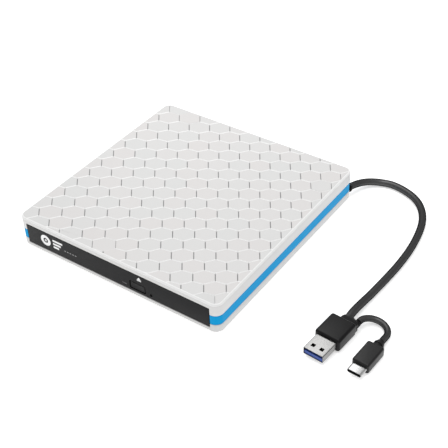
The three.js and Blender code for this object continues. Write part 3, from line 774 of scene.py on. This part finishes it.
# ------------------------------------------------------------------ bezel, button and marks
FACE_Y = -HALF_Y + 0.04  # the bezel's face, a hair behind the case's front
BUTTON_MID = (BUTTON_LOW + BUTTON_HIGH) / 2 / MM
BUTTON_W = (BUTTON_HIGH.x - BUTTON_LOW.x) / MM
BUTTON_H = (BUTTON_HIGH.z - BUTTON_LOW.z) / MM
BUTTON_GAP = 0.42
LED_LOW, LED_HIGH = (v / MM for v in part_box("activity_led"))
LED_MID = Vector(((LED_LOW.x + LED_HIGH.x) / 2, FACE_Y, LED_LOW.z + 0.45))
PINHOLE = (25.7, 6.8)  # x and z
PINHOLE_RADIUS = 0.75
PINHOLE_MOUTH = 1.0  # radius at the bezel's face
POCKET_DEPTH = 9
BEZEL_EDGE = 0.35  # how far the bezel's face is rounded off
BEZEL_WALL = Vector((1.5, 2, 1.2))  # thickness at its ends, behind its face, and above and below


def upright_rect(x, z, width, height, radius, y, steps=5):
    """A loop round a rectangle with round corners that stands in the plane at y."""
    stations = rect_stations(width / 2, height / 2, radius, steps)
    return [(x + px, y, z + pz) for px, pz, _ in station_loop(stations, radius, 0)]


def pocket_tool(middle, width, height, radius):
    """A pocket in the bezel's face, a little wider at its mouth."""
    x, z = middle.x, middle.z
    tool = bmesh.new()
    loft(tool, [
        upright_rect(x, z, width + 0.3, height + 0.3, radius + 0.15, FACE_Y - 0.01),
        upright_rect(x, z, width, height, radius, FACE_Y + 0.15),
        upright_rect(x, z, width, height, radius, FACE_Y + POCKET_DEPTH),
    ])
    return tool


def pinhole_tool(radius, start, end, end_radius=None):
    """A rod or cone in the pinhole, between two depths behind the bezel's face."""
    x, z = PINHOLE
    return rod_bm(radius, (x, FACE_Y + start, z), (x, FACE_Y + end, z), 24, end_radius)


def in_dark_gap(point):
    """Whether a point is in the gap round the button or in the pinhole, whose faces get painted shade.
    """
    by_button = (
        abs(point.x - BUTTON_MID.x) < BUTTON_W / 2 + 2 * BUTTON_GAP
        and abs(point.z - BUTTON_MID.z) < BUTTON_H / 2 + 2 * BUTTON_GAP
    )
    in_pinhole = (
        math.hypot(point.x - PINHOLE[0], point.z - PINHOLE[1]) < PINHOLE_MOUTH + 0.1
    )
    return FACE_Y + 0.05 < point.y < FACE_Y + POCKET_DEPTH and (by_button or in_pinhole)


def make_bezel(mats):
    low, high = BEZEL_LOW / MM, BEZEL_HIGH / MM
    x, z = (low.x + high.x) / 2, (low.z + high.z) / 2
    width, height = high.x - low.x, high.z - low.z
    bm = bmesh.new()
    loft(bm, [
        upright_rect(x, z, width - 2 * BEZEL_EDGE, height - 2 * BEZEL_EDGE, 0.25, FACE_Y),
        upright_rect(x, z, width - 0.2, height - 0.2, 0.45, FACE_Y + 0.1),
        upright_rect(x, z, width, height, 0.5, FACE_Y + BEZEL_EDGE),
        upright_rect(x, z, width, height, 0.5, high.y),
    ])
    hollow = box_bm(
        (low.x + BEZEL_WALL.x, FACE_Y + BEZEL_WALL.y, low.z + BEZEL_WALL.z),
        (high.x - BEZEL_WALL.x, 0, high.z - BEZEL_WALL.z),
    )
    button = pocket_tool(BUTTON_MID, BUTTON_W + 2 * BUTTON_GAP, BUTTON_H + 2 * BUTTON_GAP, 0.7)
    led = pocket_tool(LED_MID, 3.4, 1.1, 0.4)
    pin = pinhole_tool(PINHOLE_RADIUS, -1, -FACE_Y)
    flare = pinhole_tool(PINHOLE_MOUTH, -0.1, 0.45, end_radius=0.55)
    bm = subtract(bm, hollow, button, led, pin, flare)
    # the faces in the gap round the button and in the pinhole get a near-black colour, painted shade
    for face in bm.faces:
        if in_dark_gap(face.calc_center_median() / MM):
            face.material_index = 1
    finish_piece("bezel_face", bm, [mats["bezel"], mats["gap"]], "tray",
                 ["front_bezel"])


def make_button(mats):
    """A cap with a dished face, on a stem that reaches the switch."""
    bm = bmesh.new()
    x, z = BUTTON_MID.x, BUTTON_MID.z
    front = BUTTON_LOW.y / MM
    # [taken off the width and the height, corner radius, depth behind the front]
    cap = [(1.6, 0.3, 0.12), (1.0, 0.4, 0), (0.5, 0.5, 0.05), (0, 0.6, 0.4), (0, 0.6, 3)]
    loft(bm, [
        upright_rect(x, z, BUTTON_W - less, BUTTON_H - less, radius, front + depth)
        for less, radius, depth in cap
    ])
    loft(bm, [upright_rect(x, z, 2.4, 2.4, 0.3, y) for y in (front + 2.99, BUTTON_HIGH.y / MM)])
    finish_piece("button_cap", bm, [mats["button"]], "button", ["eject_button"])


def flat_mark(name, outlines, look):
    """Printed shapes on the bezel: each outline is a list of [x, z], or a pair for a ring."""
    bm = bmesh.new()
    front, back = FACE_Y - 0.02, FACE_Y + 0.05
    for outline in outlines:
        if isinstance(outline, tuple):
            outer, inner = outline
            ring_wall(bm, [
                ring(bm, [(x, y, z) for x, z in loop])
                for loop, y in ((outer, back), (outer, front), (inner, front), (inner, back))
            ])
        else:
            loft(bm, [[(x, y, z) for x, z in outline] for y in (back, front)])
    finish_piece(name, bm, [look], "tray")


def circle(x, z, radius, count=40):
    angles = [2 * math.pi * k / count for k in range(count)]
    return [(x + radius * math.cos(a), z + radius * math.sin(a)) for a in angles]


def bar(x0, x1, z0, z1):
    return [(x0, z0), (x1, z0), (x1, z1), (x0, z1)]


def make_marks(mats):
    """Plain symbols: a disc with lines beside it, dashes, and an eject sign over the button."""
    disc_x, disc_z = -50.2, 11.25
    line_x, line_z, line_length = -44.6, 12.85, 7.4
    lines = [
        bar(line_x, line_x + line_length - 1.6 * k, line_z - 2.3 * k, line_z - 2.3 * k + 1.4)
        for k in range(3)
    ]
    disc = [(circle(disc_x, disc_z, 3.7), circle(disc_x, disc_z, 1.7)),
            circle(disc_x, disc_z, 0.75, 24)]
    flat_mark("disc_mark", disc + lines, mats["ink"])

    dash_x, dash_z = -36.2, 9.45
    dashes = [
        bar(dash_x + 1.95 * k, dash_x + 1.95 * k + 1.1, dash_z, dash_z + 0.5) for k in range(5)
    ]
    flat_mark("small_mark", dashes, mats["grey_ink"])

    eject_x, eject_z, half = 18.1, 14.2, 1.5
    triangle = [
        (eject_x - half, eject_z + 0.1), (eject_x + half, eject_z + 0.1), (eject_x, eject_z + 1.7)
    ]
    underline = bar(eject_x - half, eject_x + half, eject_z - 0.75, eject_z - 0.2)
    flat_mark("eject_mark", [triangle, underline], mats["ink"])


# ------------------------------------------------------------------ lead, branch and plugs
LEAD_DIAMETER = 4.4
BRANCH_DIAMETER = 3.6
LIE = LEAD_DIAMETER / 2 + 0.05  # height of the lead's middle where it lies on the table
LIE_BRANCH = BRANCH_DIAMETER / 2 + 0.05
ARCH_MIDDLE = Vector((135.25, -25.6))  # the branch starts with half a circle round this point
ARCH_RADIUS = 8.0


def on_way(distance, z):
    point = EXIT_POINT + EXIT_WAY * distance
    return (point.x, point.y, z)


def on_arch(degrees, z):
    angle = math.radians(degrees)
    point = ARCH_MIDDLE + ARCH_RADIUS * Vector((math.cos(angle), math.sin(angle)))
    return (point.x, point.y, z)


LEAD_ROUTE = [
    on_way(2.6, EXIT_Z), on_way(6, 5.1), on_way(10, 4.4), (72.2, 84.7, 3.6), (75.9, 88.5, 2.8),
    (80.4, 91.1, LIE), (85.6, 92.3, LIE), (91.1, 92, LIE), (97, 90.5, LIE), (102.9, 88, LIE),
    (108.3, 84.1, LIE), (112.7, 79, LIE), (116.2, 73, LIE), (118.8, 66.3, LIE), (120.9, 57.6, LIE),
    (122.3, 48.8, LIE), (123.1, 40.5, LIE), (123.4, 32.5, LIE), (123.4, 24.7, LIE), (123.1, 17.2, LIE),
    (122.7, 9.9, LIE), (122.2, 2.8, LIE), (121.7, -3.5, LIE), (121.4, -8.5, 2.7), (121.2, -13.2, 3.2),
    (121.1, -17.8, 3.7), (121.1, -22, 4), (121.3, -25.7, 4),
]
BRANCH_ROUTE = [
    on_arch(180, 4), on_arch(165, 3.95), on_arch(150, 3.75), on_arch(135, 3.4), on_arch(120, 3),
    on_arch(105, 2.6), on_arch(90, 2.3), on_arch(75, 2.05), on_arch(60, 1.9), on_arch(45, LIE_BRANCH),
    on_arch(30, LIE_BRANCH), on_arch(15, 1.9), on_arch(0, 2.1), (143.28, -27.4, 2.4),
    (143.3, -29.3, 2.75), (143.3, -31.1, 3),
]


def smooth_route(points, per_span=8):
    """Points along a centripetal Catmull-Rom curve, in millimetres."""
    points = [Vector(p) for p in points]
    padded = [points[0] * 2 - points[1], *points, points[-1] * 2 - points[-2]]
    out = []
    for p0, p1, p2, p3 in zip(padded, padded[1:], padded[2:], padded[3:]):
        t0 = 0.0
        t1 = t0 + (p1 - p0).length ** 0.5
        t2 = t1 + (p2 - p1).length ** 0.5
        t3 = t2 + (p3 - p2).length ** 0.5
        for k in range(per_span):
            t = t1 + (t2 - t1) * k / per_span
            a1 = p0 * ((t1 - t) / (t1 - t0)) + p1 * ((t - t0) / (t1 - t0))
            a2 = p1 * ((t2 - t) / (t2 - t1)) + p2 * ((t - t1) / (t2 - t1))
            a3 = p2 * ((t3 - t) / (t3 - t2)) + p3 * ((t - t2) / (t3 - t2))
            b1 = a1 * ((t2 - t) / (t2 - t0)) + a2 * ((t - t0) / (t2 - t0))
            b2 = a2 * ((t3 - t) / (t3 - t1)) + a3 * ((t - t1) / (t3 - t1))
            out.append(b1 * ((t2 - t) / (t2 - t1)) + b2 * ((t - t1) / (t2 - t1)))
    out.append(points[-1])
    return out


def make_cord(name, route, diameter, node, mats):
    data = bpy.data.curves.new(name, "CURVE")
    data.dimensions = "3D"
    data.bevel_depth = diameter / 2 * MM
    data.bevel_resolution = 8
    data.use_fill_caps = True
    points = smooth_route(route)
    spline = data.splines.new("POLY")
    spline.points.add(len(points) - 1)
    for target, point in zip(spline.points, points):
        target.co = (*(point * MM), 1)
    spline.use_smooth = True
    data.materials.append(mats["jacket"])
    piece = bpy.data.objects.new(name, data)
    bpy.context.scene.collection.objects.link(piece)
    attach(piece, "case")
    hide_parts(node)
    return piece


# A plug's own frame: its sleeve starts at y = 0 and its metal shell points along -Y.
PLUG_A = Matrix.Translation(Vector((120.1, -46.7, 4)) * MM) @ Matrix.Rotation(-0.07, 4, "Z")
PLUG_C = Matrix.Translation(Vector((142.2, -51.9, 3)) * MM) @ Matrix.Rotation(-0.05, 4, "Z")


def pillow(bm, half_x, y0, y1, half_z, corner, edge):
    """A rounded block that lies from y0 to y1."""
    profile = fillet(edge, edge - half_z, edge, -90, 0)
    profile += fillet(edge, half_z - edge, edge, 0, 90)
    middle = (y0 + y1) / 2
    stations = rect_stations(half_x, (y1 - y0) / 2, corner, 8)
    loft(bm, [
        [(x, middle + y, z) for x, y, z in station_loop(stations, corner - inset, z)]
        for inset, z in profile
    ])


def metal_shell(width, height, radius, sheet, length):
    """A drawn tube with a slightly rolled lip, from the sleeve's face to its mouth."""
    bm = bmesh.new()
    inner = (width - 2 * sheet, height - 2 * sheet, radius - sheet)
    lip = sheet * 0.35
    loops = [
        upright_rect(0, 0, width, height, radius, -0.1, 8),
        upright_rect(0, 0, width, height, radius, lip - length, 8),
        upright_rect(0, 0, width - 2 * lip, height - 2 * lip, radius - lip, -length, 8),
        upright_rect(0, 0, *inner, lip - length, 8),
        upright_rect(0, 0, *inner, -0.1, 8),
    ]
    ring_wall(bm, [ring(bm, loop) for loop in loops])
    return bm


def contact_block(half_x, y0, y1, z0, z1, painted_shade_from, contacts):
    """A plastic carrier with contact strips on its upper side, near black deep inside the shell:
    painted shade.
    """
    bm = bmesh.new()
    for start, end, material in ((y0, painted_shade_from, 0), (painted_shade_from, y1, 1)):
        loft(bm, [
            upright_rect(0, (z0 + z1) / 2, 2 * half_x, z1 - z0, 0.12, y, 3) for y in (start, end)
        ], material)
    for x, width in contacts:
        loft(bm, [
            upright_rect(x, z1 + 0.02, width, 0.1, 0.04, y, 2) for y in (y0 + 1.8, y0 + 3.4)
        ], 2)
    return bm


def plug_piece(name, bm, place, looks, node):
    bm.transform(place)
    return finish_piece(name, bm, looks, "case", [node])


def round_neck(bm, x, steps):
    """A turned neck along Y through steps of [radius, y]."""
    loft(bm, [upright_rect(x, 0, 2 * r, 2 * r, r - 0.01, y) for r, y in steps])


def make_plug_a(mats):
    sleeve = bmesh.new()
    pillow(sleeve, half_x=7.6, y0=0, y1=16.6, half_z=4, corner=1.5, edge=1.4)
    # the lead's strain relief, as [middle, width, height, y], and the branch's beside it
    relief = [
        (2.25, 10.3, 6.8, 15.8), (2.25, 10.3, 6.8, 17.9), (1.75, 8.6, 6.2, 19.4),
        (0.95, 6.1, 5.4, 20.5), (0.95, 5.5, 4.9, 20.8),
    ]
    loft(sleeve, [upright_rect(x, 0, width, height, 1.5, y) for x, width, height, y in relief])
    round_neck(sleeve, 5.6, [(2, 17), (2, 20.4), (1.7, 20.75)])
    shell = metal_shell(width=12, height=4.5, radius=0.5, sheet=0.3, length=12)
    windows = [box_bm((x - 1.1, -9.1, -9), (x + 1.1, -6.9, 9)) for x in (-2.6, 2.6)]
    shell = subtract(shell, *windows)
    strips = [(x, 1.0) for x in (-3.6, -1.2, 1.2, 3.6)]  # middle and width
    carrier = contact_block(
        half_x=5.5, y0=-11.6, y1=-0.6, z0=-1.8, z1=0.1, painted_shade_from=-9.8, contacts=strips
    )
    carrier_looks = [mats["tongue"], mats["cavity"], mats["gold"]]
    return [
        plug_piece("plug_a_sleeve", sleeve, PLUG_A, [mats["sleeve"]],
                   "usb_a_overmould"),
        plug_piece("plug_a_shell", shell, PLUG_A, [mats["nickel"]], "usb_a_shell"),
        plug_piece("plug_a_carrier", carrier, PLUG_A, carrier_looks, "usb_a_tongue"),
    ]


def make_plug_c(mats):
    sleeve = bmesh.new()
    pillow(sleeve, half_x=4.9, y0=0, y1=16.2, half_z=3, corner=1.2, edge=1.1)
    round_neck(sleeve, 0.1, [
        (2.5, 15.6), (2.5, 17.5), (2.9, 17.6), (2.9, 18.6), (2.3, 18.7), (2.3, 20.1), (2, 20.4),
    ])
    shell = metal_shell(width=8.25, height=2.4, radius=1.15, sheet=0.3, length=5.5)
    strips = [(0.5 * k, 0.25) for k in range(-5, 6)]
    carrier = contact_block(
        half_x=3, y0=-4.7, y1=-0.6, z0=-0.35, z1=0.35, painted_shade_from=-4.2, contacts=strips
    )
    carrier_looks = [mats["chip"], mats["cavity"], mats["gold"]]
    return [
        plug_piece("plug_c_sleeve", sleeve, PLUG_C, [mats["small_sleeve"]],
                   "usb_c_overmould"),
        plug_piece("plug_c_shell", shell, PLUG_C, [mats["bright"]], "usb_c_shell"),
        plug_piece("plug_c_carrier", carrier, PLUG_C, carrier_looks, "usb_c_tongue"),
    ]


# ------------------------------------------------------------------ materials of the CAD nodes
NODE_LOOKS = {
    "foot": ["foot_front_left", "foot_front_right", "foot_rear_left", "foot_rear_right",
             "damper_1", "damper_2", "damper_3"],
    "bolt": ["case_screw_front_left", "case_screw_front_right", "case_screw_rear_left",
             "case_screw_rear_right"],
    "board": ["bridge_board", "drive_board", "tray_board"],
    "chip": ["bridge_chip", "sata_socket", "sata_plug", "lens_holder"],
    "sheet": ["chassis_pan", "chassis_lid", "slide_rail_left", "slide_rail_right", "lid_screw_left",
              "lid_screw_right", "traverse_deck", "traverse_cover", "spindle_motor", "sled_motor",
              "latch_hook", "solenoid_plunger"],
    "ground": ["guide_rod_front", "guide_rod_rear", "lead_screw"],
    "tray": ["disc_tray", "rail_guide_left", "rail_guide_right", "pickup_sled"],
    "hub": ["turntable"],
    "claw": ["clamp_claw_1", "clamp_claw_2", "clamp_claw_3"],
    "film": ["flex_ribbon"],
    "copper": ["solenoid"],
    "led": ["activity_led"],
    "lens": ["objective_lens"],
    "sleeve": ["cable_grommet"],
}

# Nodes that can be seen as they are, most of them when the tray is out: their hard edges are softened.
SOFTENED = [
    "disc_tray", "rail_guide_left", "rail_guide_right", "slide_rail_left", "slide_rail_right",
    "traverse_cover", "pickup_sled", "lens_holder", "turntable", "clamp_claw_1", "clamp_claw_2",
    "clamp_claw_3", "foot_front_left", "foot_front_right", "foot_rear_left", "foot_rear_right",
    "cable_grommet",
]
SOFT_EDGE = 0.12


def soften(name, look):
    """The node's own shape with a small round on every hard edge."""
    source = NODES[name]
    bm = bmesh.new()
    bm.from_mesh(source.data)
    bm.transform(source.matrix_world)
    bmesh.ops.remove_doubles(bm, verts=bm.verts, dist=0.002 * MM)
    bmesh.ops.dissolve_limit(bm, angle_limit=math.radians(1), verts=bm.verts, edges=bm.edges)
    round_edges(bm, SOFT_EDGE, lambda p: True)
    return finish_piece("fine_" + name, bm, [look], source["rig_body"], [name])


def dress_nodes(mats):
    """Gives the CAD nodes their materials, and returns the pieces that stand for softened ones."""
    pieces = {}
    for look, names in NODE_LOOKS.items():
        for name in names:
            if name in SOFTENED:
                pieces[name] = soften(name, mats[look])
                continue
            mesh = NODES[name].data
            mesh.materials.clear()
            mesh.materials.append(mats[look])
    return pieces


# ------------------------------------------------------------------ making
make_camera()
make_studio()
LOOKS = make_materials()
SOFT_PIECES = dress_nodes(LOOKS)
lead = make_cord("lead", LEAD_ROUTE, LEAD_DIAMETER, "usb_cable", LOOKS)
branch = make_cord("branch", BRANCH_ROUTE, BRANCH_DIAMETER, "usb_c_cable", LOOKS)
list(make_plug_a(LOOKS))
make_plug_c(LOOKS)
make_top_cover(LOOKS)
make_band(LOOKS)
make_bottom_cover(LOOKS)
make_bezel(LOOKS)
make_button(LOOKS)
make_marks(LOOKS)
